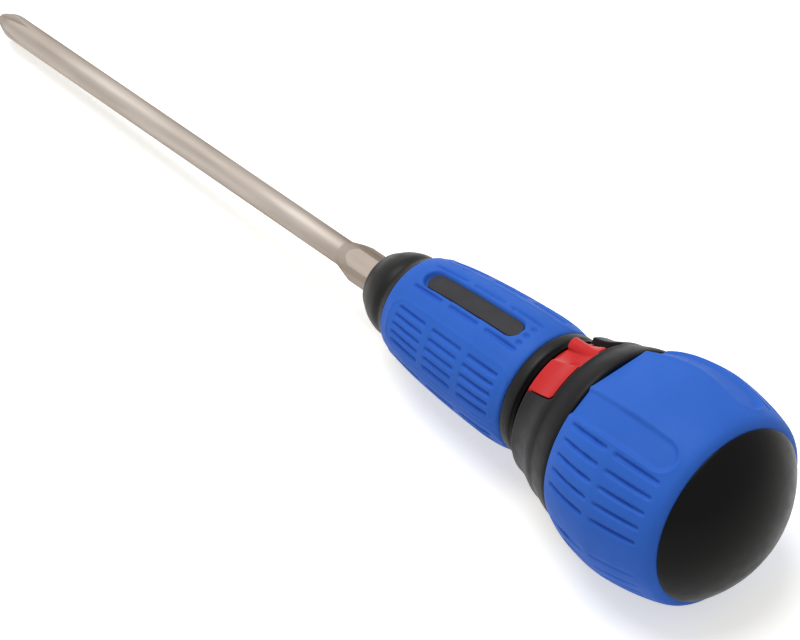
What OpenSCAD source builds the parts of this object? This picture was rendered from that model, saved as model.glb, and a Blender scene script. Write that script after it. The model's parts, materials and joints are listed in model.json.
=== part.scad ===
// Ratcheting screwdriver with a ball handle, a turning front grip and a push-in hex bit.
// Frame: the origin is the centre of the nose mouth, +X runs along the blade to its tip, +Z is up.
// Places along the handle are written as a distance behind the mouth, and angles around it are
// counted from the top towards +Y.

/* [Blade] */
// Distance from the nose mouth to the tip of the blade
blade_out = 117; // [70:1:220]
// Length of bit that sits inside the socket
bit_in = 33; // [20:1:34]
// Diameter of the round blade
blade_d = 5; // [4:0.1:6]
// Width of the hex shank across its flats
hex_af = 6.35; // [5:0.05:7]
// Distance from the mouth to the end of the full hexagon
hex_out = 3.8; // [1:0.1:20]
// Length of the flare from the hexagon down to the round blade
flare_l = 7.2; // [3:0.1:12]
// Length of the cross point's tapered wings
wing_l = 3.6; // [2:0.1:6]
// Length of the flutes between the wings
flute_l = 13; // [6:0.5:25]
// Radius of the blunt end of the cross point
point_r = 0.8; // [0.4:0.05:1.5]

/* [Nose] */
// Length of the black nose in front of the grip
nose_l = 9; // [7:0.1:14]
// Thickness of the nose's rim at its mouth
mouth_wall = 1.9; // [1.2:0.1:2.6]
// Radius of the rounded bulge of the nose
bulge_r = 8.2; // [7.6:0.05:9]
// Radius of the nose where the grip begins
nose_r = 9.1; // [8.2:0.1:9.2]

/* [Front grip] */
// Length of the front grip
grip_l = 33.5; // [31:0.1:42]
// Distance from the front edge of the grip to its widest place
grip_wide_l = 28; // [20:0.5:28]
// Largest radius of the front grip
grip_r = 12.4; // [11:0.1:13.5]
// How far the grip's front edge stands over the nose
grip_front_step = 0.17; // [0:0.01:1]
// How far the grip's rear edge lies under the neck ring
grip_rear_step = 0.15; // [-0.5:0.05:1]
// Thickness of the rubber sleeve
grip_wall = 2; // [1.2:0.1:2.4]
// Length of the pill-shaped plate
inlay_l = 24; // [14:0.5:26]
// Width of the pill-shaped plate
inlay_w = 3.9; // [3:0.1:6]
// Angle of the plate from the top
inlay_turn = 6.2; // [-180:0.1:180]

/* [Neck] */
// Length of the black neck ring behind the front grip
neck_l = 2.4; // [1.5:0.1:3]
// Radius of the neck ring
neck_r = 11.7; // [11:0.1:12]

/* [Ratchet] */
// Number of teeth
teeth = 24; // [12:12:24]
// Radius over the teeth
gear_r = 6.3; // [6:0.05:7.6]
// Depth of a tooth
tooth_h = 0.8; // [0.6:0.05:0.9]
// Width of the gear along the axis
gear_w = 4.9; // [4:0.1:6]
// Radius of a pawl pin
pin_r = 0.8; // [0.6:0.05:1]
// Angle that the selector turns through
selector_throw = 14; // [11.5:0.1:17]
// Angle that a pawl turns through when it is lifted
pawl_lift = 12; // [10:0.5:13]

/* [Selector and collar] */
// Length of the collar
collar_l = 12.1; // [11:0.1:15]
// Thickness of the collar's wall at its front edge
collar_wall = 1.25; // [0.8:0.05:1.4]
// Angle where the lever's near side lies, from the top
lever_near = 42.5; // [30:0.5:60]
// Angle where the lever's far side lies, from the top
lever_far = -12.5; // [-30:0.5:0]
// Height of the thumb rib over the lever's front edge
rib_h = 1.25; // [0.8:0.05:2.2]
// Width of the round thumb rib
rib_w = 2.6; // [1.8:0.1:3.4]

/* [Ball handle] */
// Length of the ball from the collar to the cap
ball_l = 25.7; // [21:0.1:31]
// Distance from the ball's front edge to its widest place
ball_wide_l = 12.2; // [9:0.1:15]
// Largest radius of the ball
ball_r = 20.32; // [16.9:0.02:24.5]
// How far the ball's front edge lies inside its largest radius
ball_front_drop = 2.82; // [1:0.01:4]
// How far the ball's rear edge lies inside its largest radius
ball_rear_drop = 3.37; // [1.5:0.01:4.5]
// Thickness of the ball's rubber
ball_wall = 3.6; // [2.5:0.1:4]
// Height of the cap's dome over the ball's rear edge
dome_h = 7.47; // [4:0.01:12]
// Angle of the upper one of the ball's two plain panels
panel_turn = -1.5; // [-180:0.5:180]

/* [Hidden] */
$fn = 96;
full_turn = 360;
half_turn = full_turn / 2;
quarter_turn = full_turn / 4;
curve_steps = 10;
cam_steps = 8;
link_steps = 20;
arc_steps = 12;
over = 1;              // how far a cut runs past the faces it opens
press_gap = 0.02;      // gap of a pressed seat
run_gap = 0.05;        // radial gap of a running fit
side_gap = 0.15;       // gap at the side of a moving piece
face_gap = 0.3;        // gap between faces that pass each other

// The bit and its socket in the spindle
hex_corner_r = hex_af / sqrt(3);
hex_chamfer = 0.6;
flute_edge_r = 0.45;
wing_turn = 20;
socket_af = hex_af + side_gap;
socket_from = 1.3;
magnet_l = 3;
socket_to = bit_in + side_gap + magnet_l;
wire_d = 0.5;
chuck_inset = 2.9;
chuck_at = socket_from + chuck_inset;
chuck_r = hex_corner_r + run_gap + wire_d / 2;
chuck_groove_r = chuck_r + wire_d / 2 + run_gap;
chuck_open_turn = 50;
shaft_wall = 1.33;
shaft_r = hex_corner_r + shaft_wall;
shoulder_h = 0.8;
journal_r = shaft_r - shoulder_h;
mouth_gap = 0.43;
mouth_hole_r = hex_corner_r + mouth_gap;
mouth_r = mouth_hole_r + mouth_wall;

// The nose and the front grip
waist_l = 3.2;
waist_h = 0.15;
bulge_at = nose_l - waist_l;
grip_end = nose_l + grip_l;
grip_wide_at = nose_l + grip_wide_l;
grip_front_r = nose_r + grip_front_step;
grip_rear_r = neck_r - grip_rear_step;
inlay_at = nose_l + grip_l / 2;
inlay_inset = 0.5;
neck_round = 0.4;
neck_end = grip_end + neck_l;
shoulder_l = 1.5;
shaft_end = grip_end - shoulder_l;

// The ratchet, from the axis outwards
tooth_turn = full_turn / teeth;
top_half_share = 0.12;
root_half_share = 0.093;
flank_gap = 0.12;
gear_root_r = gear_r - tooth_h;
flat_h = 0.6;
flat_at_r = journal_r - flat_h;
boss_wall = 0.7;
boss_r = pin_r + boss_wall;
boss_gap = 0.4;
pin_at_r = gear_r + boss_gap + boss_r;
cavity_gap = 0.2;
cavity_r = pin_at_r + boss_r + cavity_gap;
housing_wall = 1;
housing_r = cavity_r + housing_wall;
ring_bore_r = housing_r + 2 * run_gap;

// The bearings and what holds them, along the axis
bush_wall = 1.4;
bush_r = journal_r + run_gap + bush_wall;
washer_t = 0.4;
washer_rim = 3.35;
washer_at = neck_end + run_gap;
washer_r = bush_r + washer_rim;
housing_at = washer_at + washer_t + run_gap;
lip_l = 0.8;
lip_r = housing_r + housing_wall;
front_wall_l = 3.5;
cavity_at = housing_at + front_wall_l;
gear_at = cavity_at + side_gap;
gear_end = gear_at + gear_w;
spigot_at = gear_end + side_gap;
pin_seat_l = 1.6;
tail_r = journal_r - 4 * run_gap;
tail_wall_l = 3.2;
tail_bush_at = spigot_at + tail_wall_l;
tail_bush_l = 4.5;
tail_bush_end = tail_bush_at + tail_bush_l;
tail_bush_r = tail_r + run_gap + bush_wall;
tail_washer_t = 0.6;
tail_washer_rim = 1.05;
tail_washer_at = tail_bush_end + run_gap;
tail_washer_r = tail_bush_r + tail_washer_rim;
clip_t = 0.8;
clip_at = tail_washer_at + tail_washer_t + run_gap;
clip_groove_h = 0.7;
clip_wide = 2;
clip_open_turn = 60;
tail_past_l = 2.5;
shaft_tail_end = clip_at + clip_t + tail_past_l;
tail_room_r = tail_washer_r + tail_washer_rim + face_gap;

// The pawls, at their angles from the bottom of the tool
pawl_line = half_turn;
tail_turn = selector_throw / 2;
tail_to_pin_turn = 20;
pivot_turn = tail_turn + tail_to_pin_turn;
window_turn = pivot_turn + 1;
tip_aim_turn = 75;
tip_turn = tooth_turn / 2 * round(2 * tip_aim_turn / tooth_turn);
nose_tip_r = 0.6;
tail_at_r = housing_r;
arm_r = 0.95;
arm_gap = 0.1;
arm_at_r = gear_r + arm_gap + arm_r;
arm_clear_r = gear_r + side_gap;
tip_gap = 0.2;
tip_at_r = gear_root_r + tip_gap;
pawl_w = gear_w - 2 * side_gap;
pawl_at = gear_at + side_gap;
pin = [pin_at_r, 0];
tail_off = polar(tail_at_r, pivot_turn - tail_turn) - pin;

// The selector ring around the housing
cam_gap = side_gap;
ring_wall = 0.6;
ring_at = housing_at + lip_l + side_gap;
ring_end = gear_end + side_gap;
ring_r = cam_r(0) + ring_wall;

// The springs and the click stop
coil_sides = 6;
coil_turn_steps = 12;
spring_r = 0.45;
spring_wire = 0.22;
spring_turns = 3;
spring_seat_share = 0.3;
spring_seat_h = mix(boss_r, nose_tip_r, spring_seat_share) + run_gap;
detent_turn = 90;
detent_r = 0.8;
detent_inset = 1.3;
detent_at = ring_at + detent_inset;
detent_sink = 0.3;
detent_ball_r = housing_r - detent_sink;
detent_wall = 1.45;
detent_floor_r = bush_r + detent_wall;
detent_coils = 5;

// The collar, its window and the lever's thumb rib
collar_lead = 1.35;
collar_at = ring_at + collar_lead;
collar_in_r = ring_r + side_gap;
collar_front_r = collar_in_r + collar_wall;
window_gap_turn = 0.8;
corner_r = 1;

// The ball and its panels
ball_at = collar_at + collar_l;
ball_wide_at = ball_at + ball_wide_l;
ball_end = ball_at + ball_l;
ball_front_r = ball_r - ball_front_drop;
ball_rear_r = ball_r - ball_rear_drop;
collar_end_r = ball_front_r - side_gap;
pocket_w = 5.4;
pocket_turn = 31;
pocket_h = 0.75;
pocket_margin = 2.9;
pocket_end = ball_end - pocket_margin;
dish_turn = 21.5;
dish_margin = 4.5;
dish_end = ball_end - dish_margin;

// The collar's crease behind the window, and the lever that follows the collar
crease_share = 0.64;
window_end = ring_end + side_gap;
collar_crease_at = window_end + face_gap;
collar_crease_r = mix(collar_front_r, collar_end_r, crease_share);
lever_slope = atan((collar_crease_r - collar_front_r) / (collar_crease_at - collar_at));
scoop_r = 6;
scoop_h = 0.6;
scoop_turn = 16;
rib_lean_share = 0.35;
rib_round_r = rib_w / 2;
rib_mid_r = collar_front_r + rib_h - rib_round_r;
rib_turn = lever_far + asin(rib_round_r / rib_mid_r);

// The grooves of the two grips
groove_h = 0.45;
grip_columns = 3;
grip_rows = 5;
grip_row_turn = 9;
grip_rows_turn = 60;
grip_groove_turn = 3.2;
grip_front_margin = 4.3;
grip_rear_margin = 2.7;
grip_column_gap = 2;
grip_groove_l = (grip_l - grip_front_margin - grip_rear_margin
                 - (grip_columns - 1) * grip_column_gap) / grip_columns;
beside_turn = 16.4;
dots = 3;
dot_l = 1.1;
dots_at = grip_end - grip_rear_margin - dot_l;
ball_columns = 2;
ball_rows = 5;
ball_row_turn = 8.8;
ball_rows_turn = 61;
ball_groove_turn = 1.8;
ball_front_margin = 2.4;
ball_rear_margin = 3.2;
ball_column_gap = 1.8;
ball_groove_l = (ball_l - ball_front_margin - ball_rear_margin
                 - (ball_columns - 1) * ball_column_gap) / ball_columns;

// The end cap
cap_step = 0.25;
cap_r = ball_rear_r - cap_step;
cap_wall = 2.2;
cap_seat_wall = 2.15;
cap_spigot_r = ball_rear_r - ball_wall - cap_seat_wall;
cap_spigot_l = 5;
dome_r = (cap_r * cap_r + dome_h * dome_h) / (2 * dome_h);
dome_mid = ball_end + dome_h - dome_r;

// Shares that shape the outlines
grip_curve_shares = [0.18, 0.80, 0.02];
grip_rear_shares = [0.45, 0.60, 0.10];
nose_curve_shares = [0.04, 0.30, 0.15];
nose_waist_shares = [0.35, 0.65];
collar_front_shares = [0.40, 0.20, 0.72, 0.88];
collar_band_shares = [0.25, 0.05, 0.55, 0.65];
ball_front_shares = [0.41, 0.96, 0.09];
ball_edge_shares = [0.47, 0.19];
ball_rear_shares = [0.13, 0.75, 0.41];
ball_round_shares = [0.22, 0.48, 0.35];

function polar(r, a) = [r * cos(a), r * sin(a)];
function mix(a, b, t) = a + (b - a) * t;

// Points of a cubic curve through its four control points
function curve(p0, p1, p2, p3, n = curve_steps) =
    [for (i = [0:n]) let (t = i / n, s = 1 - t)
        p0 * pow(s, 3) + 3 * p1 * s * s * t + 3 * p2 * s * t * t + p3 * pow(t, 3)];

// A curve that rises to a level end: from p to q, with shares of the length and the height
function rising(p, q, shares) =
    curve(p, [mix(p.x, q.x, shares[1]), mix(p.y, q.y, shares[0])],
          [q.x, mix(q.y, p.y, shares[2])], q);

// A curve from p to q, with shares of the length and the height for its two control points
function between(p, q, shares) =
    curve(p, [mix(p.x, q.x, shares[1]), mix(p.y, q.y, shares[0])],
          [mix(p.x, q.x, shares[3]), mix(p.y, q.y, shares[2])], q);

function moved_in(points, by) = [for (p = points) [p.x - by, p.y]];
function backwards(points) = [for (i = [len(points) - 1:-1:0]) points[i]];

// Radius of an outline at a distance behind the mouth
function r_of(outline, at) = lookup(at, [for (p = outline) [p.y, p.x]]);

// Centre of the circle through three points
function centre_of(a, b, c) = let (
    d = 2 * (a.x * (b.y - c.y) + b.x * (c.y - a.y) + c.x * (a.y - b.y)), aa = a * a, bb = b * b, cc = c * c)
    [(aa * (b.y - c.y) + bb * (c.y - a.y) + cc * (a.y - b.y)) / d,
     (aa * (c.x - b.x) + bb * (a.x - c.x) + cc * (b.x - a.x)) / d];

// Local frame of the tool: z runs from the mouth to the back, x is up, y stays
module on_axis() {
    rotate([0, -quarter_turn, 0]) children();
}

module ring(inner, outer, from, to) {
    translate([0, 0, from]) difference() {
        cylinder(r = outer, h = to - from);
        translate([0, 0, -over]) cylinder(r = inner, h = to - from + 2 * over);
    }
}

module hexagon(af) {
    circle(d = af * 2 / sqrt(3), $fn = 6);
}

// Points of an arc around a centre
function arc(centre, r, from, to, n = arc_steps) =
    [for (i = [0:n]) centre + polar(r, mix(from, to, i / n))];

// Two round ends and the straight sides that touch them both
module link(p1, r1, p2, r2) {
    way = p2 - p1;
    lie = atan2(way.y, way.x);
    side = acos((r1 - r2) / norm(way));
    polygon(concat(arc(p1, r1, lie + side, lie + full_turn - side, link_steps),
                   arc(p2, r2, lie - side, lie + side)));
}

module sector(from, to) {
    rotate([0, 0, from]) rotate_extrude(angle = to - from) children();
}

// Moves a flat shape out to a place on the side: its z points away from the axis
module outward(turn, at) {
    rotate([0, 0, turn]) translate([0, 0, at]) rotate([0, quarter_turn, 0]) children();
}

// A coil spring as one tube along z
function coil_points(r, wire, h, turns) =
    [for (i = [0:turns * coil_turn_steps]) let (a = i * full_turn / coil_turn_steps,
        z = h * i / (turns * coil_turn_steps))
        for (k = [0:coil_sides - 1]) let (b = k * full_turn / coil_sides)
            concat(polar(r + wire / 2 * cos(b), a), [z + wire / 2 * sin(b)])];

module coil(r, wire, h, turns) {
    rings = turns * coil_turn_steps;
    last = rings * coil_sides;
    walls = [for (i = [0:rings - 1]) for (k = [0:coil_sides - 1])
        let (a = i * coil_sides + k, b = i * coil_sides + (k + 1) % coil_sides)
        each [[a, a + coil_sides, b + coil_sides], [a, b + coil_sides, b]]];
    polyhedron(points = coil_points(r, wire, h, turns),
               faces = concat(walls, [[for (k = [0:coil_sides - 1]) k]],
                              [[for (k = [coil_sides - 1:-1:0]) last + k]]));
}

// Outlines as points of radius and distance behind the mouth
grip_out = concat(
    rising([grip_front_r, nose_l], [grip_r, grip_wide_at], grip_curve_shares),
    curve([grip_r, grip_wide_at], [grip_r, mix(grip_wide_at, grip_end, grip_rear_shares[0])],
          [mix(grip_rear_r, grip_r, grip_rear_shares[1]),
           mix(grip_end, grip_wide_at, grip_rear_shares[2])], [grip_rear_r, grip_end]));
collar_out = concat(
    between([collar_front_r, collar_at], [collar_crease_r, collar_crease_at], collar_front_shares),
    between([collar_crease_r, collar_crease_at], [collar_end_r, ball_at], collar_band_shares));
ball_edge = [mix(ball_rear_r, ball_r, ball_edge_shares[0]),
             mix(ball_end, ball_wide_at, ball_edge_shares[1])];
ball_out = concat(
    rising([ball_front_r, ball_at], [ball_r, ball_wide_at], ball_front_shares),
    curve([ball_r, ball_wide_at], [ball_r, mix(ball_wide_at, ball_edge.y, ball_rear_shares[0])],
          [mix(ball_edge.x, ball_r, ball_rear_shares[1]),
           mix(ball_edge.y, ball_wide_at, ball_rear_shares[2])], ball_edge),
    curve(ball_edge, [mix(ball_edge.x, ball_rear_r, ball_round_shares[0]),
                      mix(ball_edge.y, ball_end, ball_round_shares[1])],
          [mix(ball_rear_r, ball_edge.x, ball_round_shares[2]), ball_end],
          [ball_rear_r, ball_end]));

module solid_of(outline) {
    rotate_extrude() polygon(concat([[0, outline[0].y]], outline,
                                    [[0, outline[len(outline) - 1].y]]));
}

// The skin between an outline and the same outline moved in
module skin_of(outline, inner) {
    rotate_extrude() polygon(concat(outline, backwards(inner)));
}

// The bit

// A V-shaped cutter whose edge runs in at the tip and out at the end of the flute
module flute(turn) {
    tilt = atan((blade_d / 2 - flute_edge_r) / flute_l);
    rotate([0, 0, turn]) translate([flute_edge_r, 0, -blade_out]) rotate([0, tilt, 0])
        translate([0, 0, -over]) linear_extrude(flute_l + 2 * over)
            rotate([0, 0, -full_turn / 8]) square(blade_d);
}

module screwdriver_bit() {
    color([0.74, 0.69, 0.63]) on_axis() difference() {
        union() {
            intersection() {
                translate([0, 0, -hex_out - flare_l])
                    linear_extrude(hex_out + flare_l + bit_in) hexagon(hex_af);
                rotate_extrude() polygon([[0, -hex_out - flare_l], [blade_d / 2, -hex_out - flare_l],
                    [hex_corner_r + run_gap, -hex_out], [hex_corner_r + run_gap, bit_in - hex_chamfer],
                    [hex_corner_r - hex_chamfer, bit_in], [0, bit_in]]);
            }
            rotate_extrude() polygon([[0, -blade_out], [point_r, -blade_out],
                [blade_d / 2, wing_l - blade_out], [blade_d / 2, -hex_out], [0, -hex_out]]);
        }
        for (i = [0:3]) flute((i + 0.5) * quarter_turn + wing_turn);
    }
}

// The nose and the front grip

module nose_collar() {
    color([0.16, 0.16, 0.17]) on_axis() rotate_extrude() polygon(concat(
        rising([mouth_r, 0], [bulge_r, bulge_at], nose_curve_shares),
        curve([bulge_r, bulge_at], [bulge_r - waist_h, mix(bulge_at, nose_l, nose_waist_shares[0])],
              [bulge_r, mix(bulge_at, nose_l, nose_waist_shares[1])], [nose_r, nose_l]),
        [[shaft_r + press_gap, nose_l], [shaft_r + press_gap, socket_from],
         [mouth_hole_r, socket_from], [mouth_hole_r, 0]]));
}

module pill(l, w) {
    for (side = [-1, 1]) translate([side * (l - w) / 2, 0]) circle(d = w);
    square([l - w, w], center = true);
}

module pill_block(turn, at, l, w) {
    outward(turn, at) linear_extrude(2 * ball_r) pill(l, w);
}

// One groove cutter: a thin wedge whose floor runs straight under the outline
module groove(outline, turn, from, l, w) {
    sector(turn - w / 2, turn + w / 2) polygon([
        [r_of(outline, from) - groove_h, from], [r_of(outline, from + l) - groove_h, from + l],
        [r_of(outline, from + l) + over, from + l], [r_of(outline, from) + over, from]]);
}

module grip_groove(turn, col) {
    groove(grip_out, inlay_turn + turn,
           nose_l + grip_front_margin + col * (grip_groove_l + grip_column_gap),
           grip_groove_l, grip_groove_turn);
}

// Places of a row of equal steps around its middle
function around(count, step) = [for (i = [0:count - 1]) (i - (count - 1) / 2) * step];

// The four angles that lie alike on both sides of the top and of the bottom
function both_sides(turn) = [for (half = [0, half_turn]) for (side = [-1, 1]) half + side * turn];

module grip_grooves() {
    for (col = [0:grip_columns - 1]) {
        for (panel = both_sides(grip_rows_turn)) for (row = around(grip_rows, grip_row_turn))
            grip_groove(panel + row, col);
        for (side = [-1, 1]) grip_groove(side * beside_turn, col);
    }
    for (row = around(dots, grip_row_turn))
        groove(grip_out, inlay_turn + row, dots_at, dot_l, grip_groove_turn);
}

module front_grip() {
    color([0.12, 0.35, 0.85]) on_axis() difference() {
        skin_of(grip_out, moved_in(grip_out, grip_wall));
        pill_block(inlay_turn, inlay_at, inlay_l + 2 * side_gap, inlay_w + 2 * side_gap);
        grip_grooves();
    }
}

module inlay_plate() {
    color([0.13, 0.13, 0.14]) on_axis() intersection() {
        pill_block(inlay_turn, inlay_at, inlay_l, inlay_w);
        skin_of(moved_in(grip_out, inlay_inset), moved_in(grip_out, grip_wall - press_gap));
    }
}

module front_core() {
    color([0.17, 0.17, 0.18]) on_axis() rotate_extrude() polygon(concat(
        moved_in(grip_out, grip_wall + press_gap),
        [[neck_r - neck_round, grip_end], [neck_r, grip_end + neck_round],
         [neck_r, neck_end - neck_round], [neck_r - neck_round, neck_end],
         [journal_r + face_gap, neck_end], [journal_r + face_gap, shaft_end + run_gap],
         [shaft_r + press_gap, shaft_end + run_gap], [shaft_r + press_gap, nose_l]]));
}

// The spindle and what turns with it

module spindle_shaft() {
    color([0.62, 0.63, 0.65]) on_axis() difference() {
        union() {
            translate([0, 0, socket_from]) cylinder(r = shaft_r, h = shaft_end - socket_from);
            intersection() {
                translate([0, 0, socket_to]) cylinder(r = journal_r, h = spigot_at - socket_to);
                union() {
                    translate([0, 0, socket_to]) cylinder(r = shaft_r, h = gear_at - socket_to);
                    translate([-flat_at_r, -shaft_r, gear_at])
                        cube([2 * flat_at_r, 2 * shaft_r, spigot_at - gear_at]);
                }
            }
            translate([0, 0, gear_at]) cylinder(r = flat_at_r, h = shaft_tail_end - gear_at);
            translate([0, 0, spigot_at]) cylinder(r = tail_r, h = shaft_tail_end - spigot_at);
        }
        translate([0, 0, socket_from - over]) linear_extrude(socket_to - socket_from + over)
            hexagon(socket_af);
        translate([0, 0, chuck_at - wire_d]) cylinder(r = chuck_groove_r, h = 2 * wire_d);
        ring(tail_r - clip_groove_h, 2 * tail_r, clip_at - run_gap, clip_at + clip_t + run_gap);
    }
}

module chuck_ring() {
    color([0.55, 0.56, 0.58]) on_axis() sector(chuck_open_turn, full_turn)
        translate([chuck_r, chuck_at]) circle(d = wire_d);
}

module chuck_magnet() {
    color([0.45, 0.45, 0.47]) on_axis() translate([0, 0, socket_to - magnet_l])
        cylinder(r = socket_af / 2 - side_gap, h = magnet_l);
}

// A valley of the gear lies where each pawl's point drops in
function tooth_points() = [for (i = [0:teeth - 1])
    let (mid = pawl_line + tip_turn + (i + 0.5) * tooth_turn)
    each [polar(gear_root_r, mid - tooth_turn / 2 + tooth_turn * root_half_share),
          polar(gear_r, mid - tooth_turn * top_half_share),
          polar(gear_r, mid + tooth_turn * top_half_share),
          polar(gear_root_r, mid + tooth_turn / 2 - tooth_turn * root_half_share)]];

module ratchet_gear() {
    color([0.5, 0.51, 0.53]) on_axis() translate([0, 0, gear_at]) difference() {
        linear_extrude(gear_w) polygon(tooth_points());
        intersection() {
            translate([0, 0, -over]) cylinder(r = journal_r + press_gap, h = gear_w + 2 * over);
            translate([-flat_at_r - press_gap, -shaft_r, -over])
                cube([2 * (flat_at_r + press_gap), 2 * shaft_r, gear_w + 2 * over]);
        }
    }
}

// The pawls. Each is drawn with its pin on the x axis and its point in the gear.

function turned(p, a) = [p.x * cos(a) - p.y * sin(a), p.x * sin(a) + p.y * cos(a)];
function tail_place(lift) = pin + turned(tail_off, lift);

// Half the width of the gap between two teeth, less the gap at the flank
function gap_half(r) = mix(gear_root_r * sin(tooth_turn * root_half_share),
    gear_r * sin(tooth_turn / 2 - tooth_turn * top_half_share),
    (r - gear_root_r) / tooth_h) - flank_gap;

module pawl_outline() {
    difference() {
        union() {
            link(pin, boss_r, pin + tail_off, nose_tip_r);
            link(pin, boss_r, polar(arm_at_r, pivot_turn - tip_turn), arm_r);
        }
        circle(r = arm_clear_r);
    }
    rotate(pivot_turn - tip_turn) polygon([[tip_at_r, -gap_half(tip_at_r)],
        [arm_at_r, -gap_half(arm_at_r)], [arm_at_r, gap_half(arm_at_r)],
        [tip_at_r, gap_half(tip_at_r)]]);
}

module pawl(lift) {
    translate([0, 0, pawl_at]) translate(pin) rotate(lift) translate(-pin) difference() {
        linear_extrude(pawl_w) pawl_outline();
        translate([pin.x, pin.y, -over]) cylinder(r = pin_r + run_gap, h = pawl_w + 2 * over);
    }
}

module forward_pawl() {
    color([0.56, 0.55, 0.53]) on_axis() rotate(pawl_line + pivot_turn) mirror([0, 1, 0]) pawl(0);
}

module reverse_pawl() {
    color([0.56, 0.55, 0.53]) on_axis() rotate(pawl_line - pivot_turn) pawl(pawl_lift);
}

module pawl_pins() {
    color([0.68, 0.69, 0.7]) on_axis() for (side = [-1, 1])
        rotate(pawl_line + side * pivot_turn) translate([pin_at_r, 0, cavity_at - pin_seat_l])
            cylinder(r = pin_r, h = spigot_at - cavity_at + 2 * pin_seat_l);
}

// The spring lies between the arms of the two pawls, which meet it at a slant

function mirrored(p) = [p.x, -p.y];
function arm_of(lift) = turned(turned(tail_off, lift), -pivot_turn);
function seat_of(lift) = turned(pin, -pivot_turn) + arm_of(lift) * spring_seat_share;
spring_from = mirrored(seat_of(0));
spring_way = seat_of(pawl_lift) - spring_from;

// How much shorter the spring is at one end for the slant of that arm
function end_trim(arm) = let (slant = acos(abs(arm * spring_way) / (norm(arm) * norm(spring_way))))
    spring_seat_h / sin(slant) + (spring_r + spring_wire / 2) / tan(slant);

module pawl_spring() {
    near_trim = end_trim(mirrored(arm_of(0)));
    far_trim = end_trim(arm_of(pawl_lift));
    color([0.7, 0.7, 0.68]) on_axis() rotate(pawl_line)
        translate([spring_from.x, spring_from.y, gear_at + gear_w / 2])
            rotate(atan2(spring_way.y, spring_way.x)) rotate([0, quarter_turn, 0])
                translate([0, 0, near_trim])
                    coil(spring_r, spring_wire, norm(spring_way) - near_trim - far_trim, spring_turns);
}

// The ratchet housing and the bearings

module pin_holes() {
    for (side = [-1, 1]) rotate(pawl_line + side * pivot_turn)
        translate([pin_at_r, 0, cavity_at - pin_seat_l])
            cylinder(r = pin_r + press_gap, h = spigot_at - cavity_at + 2 * pin_seat_l);
}

module ratchet_housing() {
    color([0.4, 0.41, 0.43]) on_axis() difference() {
        union() {
            translate([0, 0, housing_at]) cylinder(r = lip_r, h = lip_l);
            translate([0, 0, housing_at]) cylinder(r = housing_r, h = ball_at - housing_at);
        }
        translate([0, 0, cavity_at]) cylinder(r = cavity_r, h = ball_at - cavity_at + over);
        translate([0, 0, housing_at - over])
            cylinder(r = bush_r + press_gap, h = cavity_at - housing_at + 2 * over);
        sector(pawl_line - window_turn, pawl_line + window_turn) translate([cavity_r - over, cavity_at])
            square([2 * over + housing_r - cavity_r, ring_end - cavity_at]);
        pin_holes();
        outward(detent_turn, detent_at) translate([0, 0, detent_floor_r])
            cylinder(r = detent_r + run_gap, h = housing_r);
    }
}

module front_bush() {
    color([0.72, 0.53, 0.3]) on_axis() ring(journal_r + run_gap, bush_r, housing_at, cavity_at);
}

module rear_bush() {
    color([0.72, 0.53, 0.3]) on_axis()
        ring(tail_r + run_gap, tail_bush_r, tail_bush_at, tail_bush_end);
}

module thrust_washer() {
    color([0.85, 0.84, 0.8]) on_axis()
        ring(journal_r + side_gap, washer_r, washer_at, washer_at + washer_t);
}

module tail_washer() {
    color([0.68, 0.69, 0.7]) on_axis()
        ring(tail_r + side_gap, tail_washer_r, tail_washer_at, tail_washer_at + tail_washer_t);
}

module retaining_ring() {
    color([0.3, 0.3, 0.32]) on_axis() sector(clip_open_turn, full_turn)
        translate([tail_r - clip_groove_h + press_gap, clip_at])
            square([clip_wide, clip_t]);
}

// The selector

// Distance of the ring's cam from the axis where a pawl is lifted by a share of its way
function cam_r(share) = norm(tail_place(share * pawl_lift)) + nose_tip_r + cam_gap;
function cam_turn(share) = share * selector_throw
    - (atan2(tail_place(share * pawl_lift).y, tail_place(share * pawl_lift).x)
       - (pivot_turn - tail_turn));
module cam_pocket() {
    mid = pawl_line + tail_turn;
    translate([0, 0, gear_at - side_gap]) linear_extrude(ring_end - gear_at + over) polygon(concat(
        [[0, 0]],
        [for (i = [cam_steps:-1:0]) polar(cam_r(i / cam_steps), mid - cam_turn(i / cam_steps))],
        [for (i = [1:cam_steps]) polar(cam_r(i / cam_steps), mid + cam_turn(i / cam_steps))]));
}

// What the round corner between a side and a rear edge leaves out
module corner_cut(turn, at) {
    outward(turn, at) linear_extrude(ball_r) difference() {
        translate([-over, -corner_r]) square(corner_r + over);
        translate([corner_r, -corner_r]) circle(r = corner_r);
    }
}

// The lever's face follows the collar, with a shallow hollow in front of the thumb rib
module lever() {
    difference() {
        sector(lever_far, lever_near) polygon(concat([[ring_bore_r + run_gap, collar_at]],
            collar_out, [[ring_bore_r + run_gap, ball_at]]));
        rotate(lever_far + scoop_turn) translate([collar_front_r - scoop_h + scoop_r, 0, collar_at])
            rotate([0, lever_slope, 0])
                translate([0, 0, -ring_end / 2]) cylinder(r = scoop_r, h = ring_end);
        corner_cut(lever_near, ring_end);
    }
    rotate(rib_turn) translate([rib_mid_r, 0, collar_at]) rotate([0, lever_slope * rib_lean_share, 0])
        translate([0, 0, -over]) cylinder(r = rib_round_r, h = ring_end - collar_at + 2 * over);
}

module selector_ring() {
    color([0.82, 0.13, 0.14]) on_axis() difference() {
        union() {
            ring(ring_bore_r, ring_r, ring_at, ring_end);
            intersection() {
                lever();
                translate([0, 0, collar_at]) cylinder(r = ball_r, h = ring_end - collar_at);
            }
        }
        cam_pocket();
        sector(detent_turn, detent_turn + selector_throw) translate([detent_ball_r, detent_at])
            circle(r = detent_r + run_gap);
        for (side = [0, 1]) rotate(detent_turn + side * selector_throw)
            translate([detent_ball_r, 0, detent_at]) sphere(r = detent_r + 2 * run_gap);
    }
}

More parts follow.
